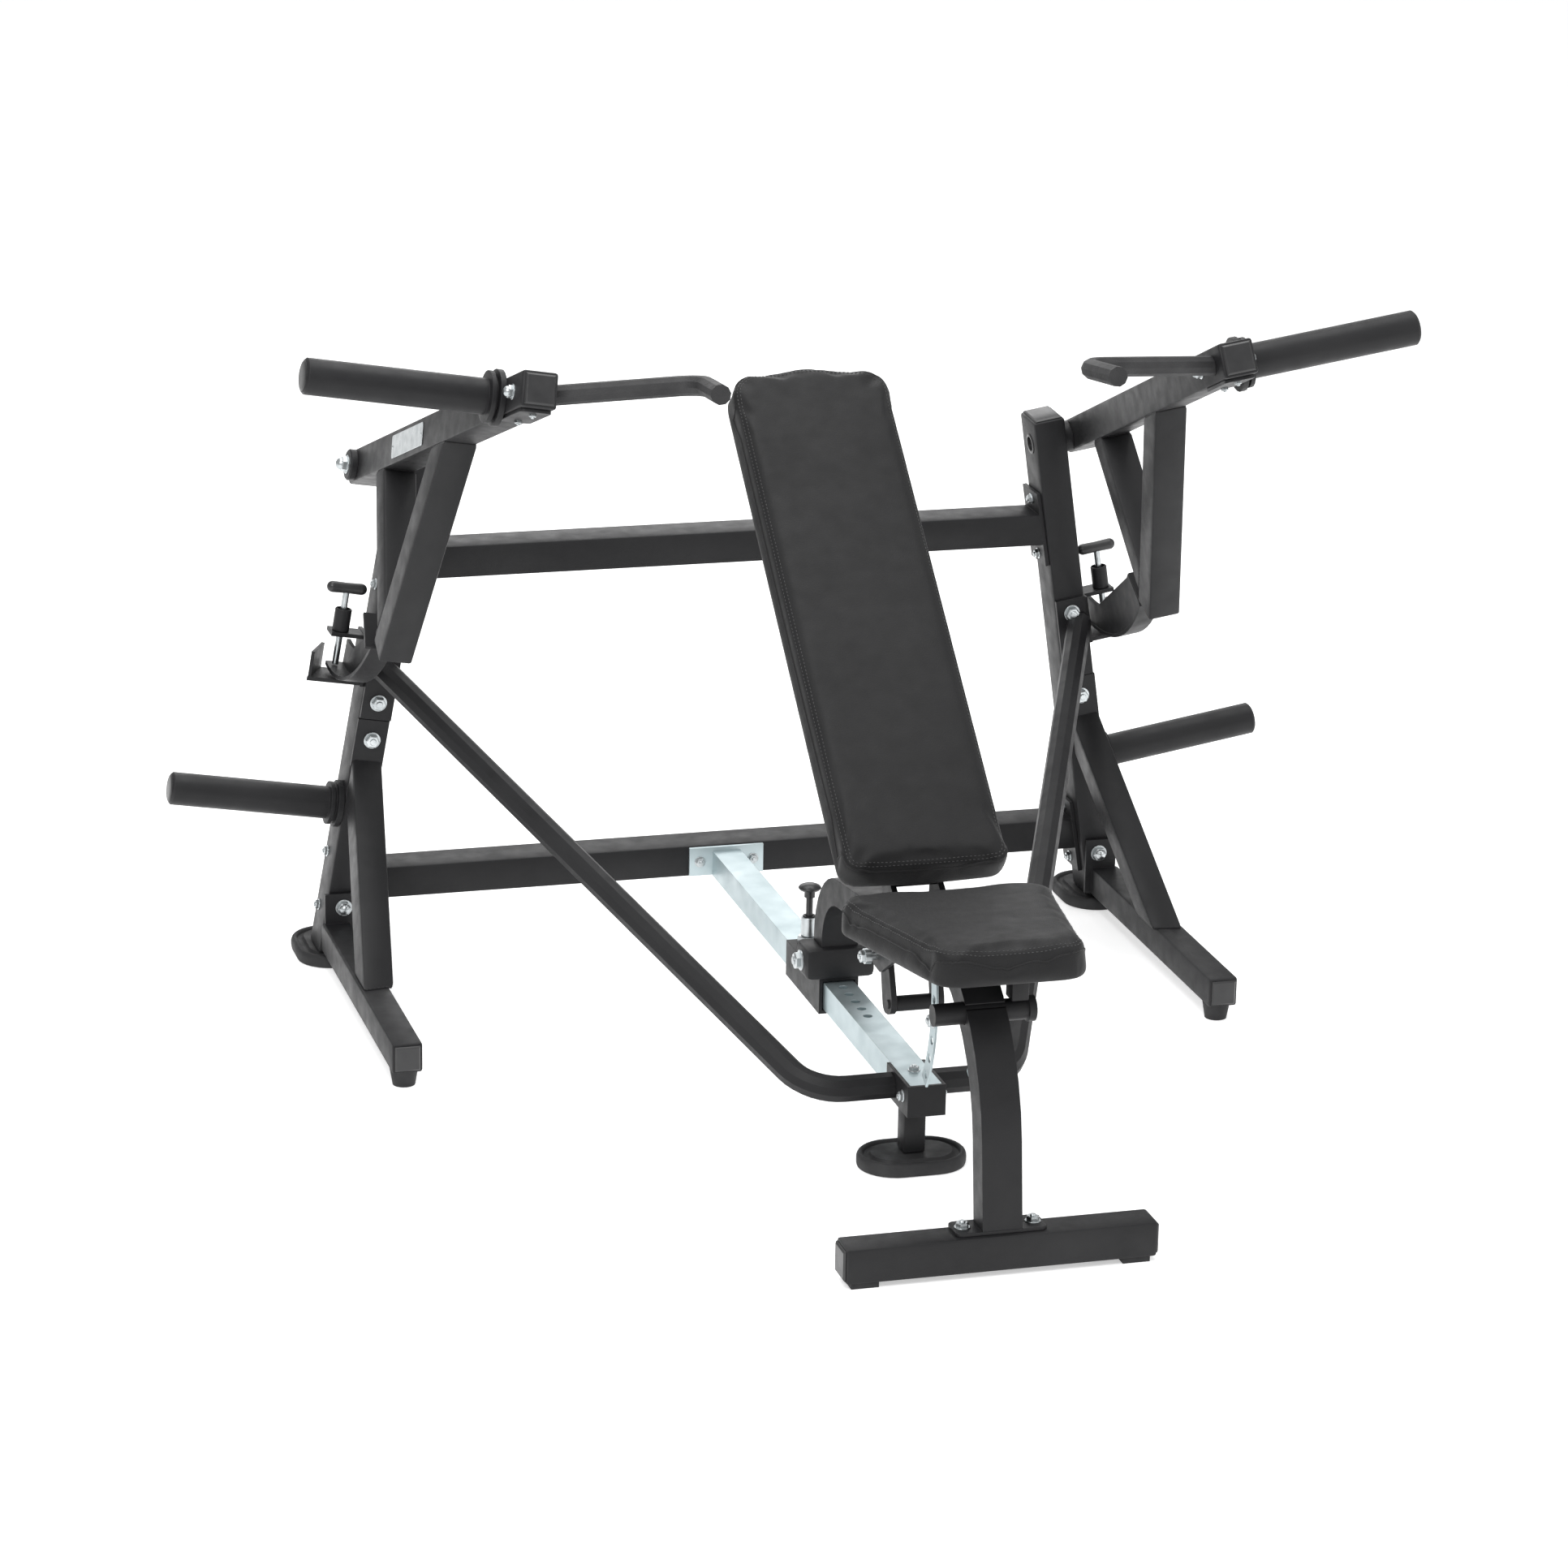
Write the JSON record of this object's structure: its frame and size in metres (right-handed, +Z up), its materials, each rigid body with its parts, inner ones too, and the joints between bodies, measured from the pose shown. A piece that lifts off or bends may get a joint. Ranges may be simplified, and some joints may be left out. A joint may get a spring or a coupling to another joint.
{
  "type": "plate-loaded chest press machine",
  "caption": "Leverage chest press: two leaning towers with pivoting lifting arms and plate sleeves, joined by crossbars, and an adjustable bench on a sliding rail.",
  "frame": {"origin": "middle of the bounding box on the floor", "axes": "+X to the right as seen by someone facing the machine from the seat end, +Y from the seat end towards the crossbars, +Z up"},
  "size_m": [1.7508, 1.5482, 1.1226],
  "materials": {
    "powder_coat": "fine-textured satin black powder coat",
    "upholstery": "matt charcoal leatherette, double-stitched edge",
    "rubber": "matt black rubber",
    "galvanised": "galvanised, satin blue-grey",
    "zinc": "bright zinc plate",
    "black_plastic": "moulded, satin"
  },
  "bodies": {
    "frame": {"upright_left": "powder_coat", "floor_tube_left": "powder_coat", "bumper_foot_left": "rubber", "rear_foot_left": "rubber", "tower_brace_left": "powder_coat", "storage_horn_left": "powder_coat", "pin_bracket_left": "powder_coat", "v_tube_left": "powder_coat", "upright_right": "powder_coat", "floor_tube_right": "powder_coat", "bumper_foot_right": "rubber", "rear_foot_right": "rubber", "tower_brace_right": "powder_coat", "storage_horn_right": "powder_coat", "pin_bracket_right": "powder_coat", "v_tube_right": "powder_coat", "upper_crossbar": "powder_coat", "lower_crossbar": "powder_coat", "rail": "galvanised", "rail_plate": "galvanised", "rail_bracket": "powder_coat", "centre_post": "powder_coat", "centre_foot": "rubber"},
    "arm_left": {"arm_tube_left": "powder_coat", "arm_front_strut_left": "powder_coat", "arm_rear_strut_left": "powder_coat", "arm_sleeve_left": "powder_coat", "handle_left": "rubber", "pivot_hub_left": "powder_coat"},
    "stop_left": {"stop_arc_left": "powder_coat", "stop_buffer_left": "rubber"},
    "pin_left": {"pull_pin_left": "zinc"},
    "arm_right": {"arm_tube_right": "powder_coat", "arm_front_strut_right": "powder_coat", "arm_rear_strut_right": "powder_coat", "arm_sleeve_right": "powder_coat", "handle_right": "rubber", "pivot_hub_right": "powder_coat"},
    "stop_right": {"stop_arc_right": "powder_coat", "stop_buffer_right": "rubber"},
    "pin_right": {"pull_pin_right": "zinc"},
    "bench": {"carriage": "powder_coat", "pivot_block": "powder_coat", "main_beam": "powder_coat", "front_leg": "powder_coat", "cross_tube": "powder_coat", "seat_rest": "powder_coat", "cross_foot": "powder_coat", "foot_pad_left": "rubber", "foot_pad_right": "rubber", "hinge_bolt": "zinc"},
    "knob": {"rail_knob": "black_plastic"},
    "back": {"back_pad": "upholstery", "back_frame": "powder_coat"},
    "seat": {"seat_pad": "upholstery", "seat_frame": "powder_coat", "adjuster_strip_left": "galvanised", "adjuster_strip_right": "galvanised"}
  },
  "joints": [
    {"name": "arm_left_lift", "type": "hinge", "parent": "frame", "child": "arm_left", "pos_m": [-0.56431, 0.6341, 0.78653], "axis": [-0.9866, -0.0237, 0.1616], "range_deg": [0, 55]},
    {"name": "stop_left_swing", "type": "hinge", "parent": "frame", "child": "stop_left", "pos_m": [-0.56628, 0.6341, 0.78686], "axis": [-0.9869, 0, 0.1616], "range_deg": [-8, 0]},
    {"name": "pin_left_pull", "type": "slide", "parent": "frame", "child": "pin_left", "axis": [0.1616, 0, 0.9869], "range_m": [0, 0.018], "stiffness_N_per_m": 350, "springref_m": -0.01},
    {"name": "arm_right_lift", "type": "hinge", "parent": "frame", "child": "arm_right", "pos_m": [0.56431, 0.6341, 0.78653], "axis": [-0.9866, 0.0237, -0.1616], "range_deg": [0, 55]},
    {"name": "stop_right_swing", "type": "hinge", "parent": "frame", "child": "stop_right", "pos_m": [0.56628, 0.6341, 0.78686], "axis": [-0.9869, 0, -0.1616], "range_deg": [-8, 0]},
    {"name": "pin_right_pull", "type": "slide", "parent": "frame", "child": "pin_right", "axis": [-0.1616, 0, 0.9869], "range_m": [0, 0.018], "stiffness_N_per_m": 350, "springref_m": -0.01},
    {"name": "bench_slide", "type": "slide", "parent": "frame", "child": "bench", "axis": [0, 1, 0], "range_m": [-0.15, 0.2]},
    {"name": "knob_pull", "type": "slide", "parent": "bench", "child": "knob", "axis": [0, 0, 1], "range_m": [0, 0.012], "stiffness_N_per_m": 350, "springref_m": -0.01},
    {"name": "back_recline", "type": "hinge", "parent": "bench", "child": "back", "pos_m": [0, -0.3159, 0.3], "axis": [-1, 0, 0], "range_deg": [-5, 38]},
    {"name": "seat_tilt", "type": "hinge", "parent": "bench", "child": "seat", "pos_m": [0, -0.3159, 0.3], "axis": [-1, 0, 0], "range_deg": [0, 6]}
  ]
}
